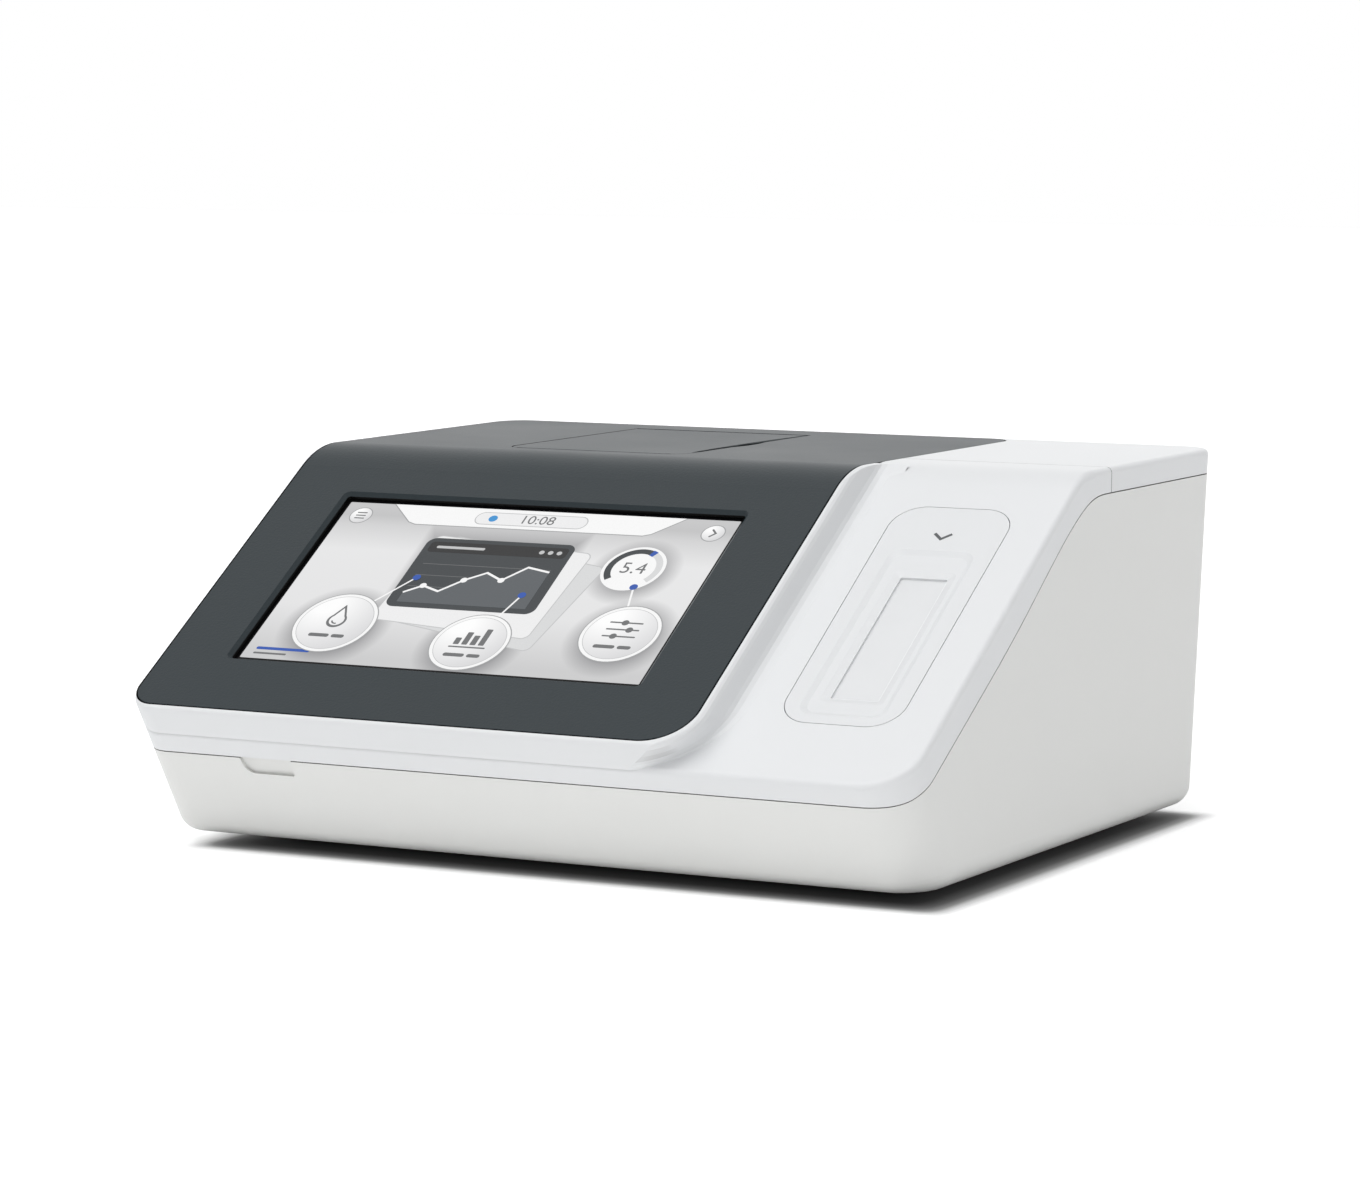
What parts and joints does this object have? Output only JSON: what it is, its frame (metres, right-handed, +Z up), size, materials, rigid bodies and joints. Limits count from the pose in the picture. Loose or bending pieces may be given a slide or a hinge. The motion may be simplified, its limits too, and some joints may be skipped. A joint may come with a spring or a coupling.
{
  "type": "glycated hemoglobin analyzer",
  "caption": "Bench-top HbA1c analyzer with a sloping touch display, a hinged lid over its cartridge compartment, a geared cartridge holder and a scan window in the lower wing.",
  "frame": {"origin": "centre of the footprint, on the surface that the feet rest on", "axes": "+X to the right seen from the front, +Y to the rear, +Z up"},
  "size_m": [0.289, 0.2575, 0.129],
  "materials": {
    "bezel_white": "satin",
    "black_plastic": "matt black",
    "board_green": "solder resist",
    "bronze": "satin",
    "case_white": "fine satin moulded",
    "cover_dark": "dark grey with a fine spark texture",
    "foot_rubber": "matt",
    "gear_plastic": "natural acetal",
    "heater_metal": "machined",
    "holder_plastic": "matt black",
    "lid_grey": "dark grey with a fine spark texture",
    "motor_black": "satin black",
    "optic": "clear",
    "panel_metal": "satin",
    "port_glass": "pale frosted",
    "ribbon": "flexible film",
    "screen_glass": "gloss, lit from behind",
    "shell_white": "fine satin moulded",
    "steel": "satin",
    "well_plastic": "matt dark grey",
    "zinc_sheet": "zinc plated"
  },
  "bodies": {
    "housing": {"lower_case": "case_white", "front_fascia": "shell_white", "rear_top_cover": "shell_white", "display_cover": "cover_dark", "lid_hinge_pins": "steel", "touch_glass": "screen_glass", "lcd_panel": "panel_metal", "display_bracket": "zinc_sheet", "display_screws": "steel", "display_ribbon": "ribbon", "ribbon_socket": "black_plastic", "scan_bezel": "bezel_white", "scan_window": "port_glass", "scanner_bracket": "zinc_sheet", "scanner_screws": "steel", "scanner_module": "black_plastic", "scanner_lens": "optic", "compartment_well": "well_plastic", "mechanism_frame": "zinc_sheet", "shaft_bushes": "bronze", "stepper_motor": "motor_black", "motor_screws": "steel", "heater_block": "heater_metal", "light_source": "black_plastic", "photo_detector": "black_plastic", "home_sensor": "black_plastic", "lid_switch": "black_plastic", "chassis_plate": "zinc_sheet", "chassis_screws": "steel", "board_standoffs": "bronze", "main_board": "board_green", "power_board": "board_green", "usb_ports": "steel", "lan_port": "steel", "dc_inlet": "black_plastic", "switch_housing": "black_plastic", "fan_frame": "black_plastic", "rubber_feet": "foot_rubber", "case_screws": "steel"},
    "lid": {"compartment_lid": "lid_grey"},
    "holder": {"cartridge_holder": "holder_plastic", "holder_shafts": "steel", "holder_gear": "gear_plastic"},
    "pinion": {"drive_pinion": "bronze", "motor_shaft": "steel"},
    "fan": {"fan_rotor": "black_plastic"},
    "rocker": {"power_rocker": "black_plastic"}
  },
  "joints": [
    {"name": "lid_hinge", "type": "hinge", "parent": "housing", "child": "lid", "pos_m": [-0.0425, 0.1074, 0.1274], "axis": [-1, 0, 0], "range_deg": [0, 95]},
    {"name": "holder_turn", "type": "hinge", "parent": "housing", "child": "holder", "pos_m": [-0.0425, 0.06, 0.072], "axis": [1, 0, 0], "continuous": true},
    {"name": "pinion_turn", "type": "hinge", "parent": "housing", "child": "pinion", "pos_m": [-0.0282, 0.08666, 0.04534], "axis": [1, 0, 0], "continuous": true},
    {"name": "fan_spin", "type": "hinge", "parent": "housing", "child": "fan", "pos_m": [0.092, 0.1145, 0.078], "axis": [0, 1, 0], "continuous": true},
    {"name": "rocker_tilt", "type": "hinge", "parent": "housing", "child": "rocker", "pos_m": [-0.088, 0.1207, 0.036], "axis": [-1, 0, 0], "range_deg": [0, 16]}
  ],
  "couplings": [
    {"joint": "pinion_turn", "follows": "holder_turn", "ratio": -4}
  ]
}
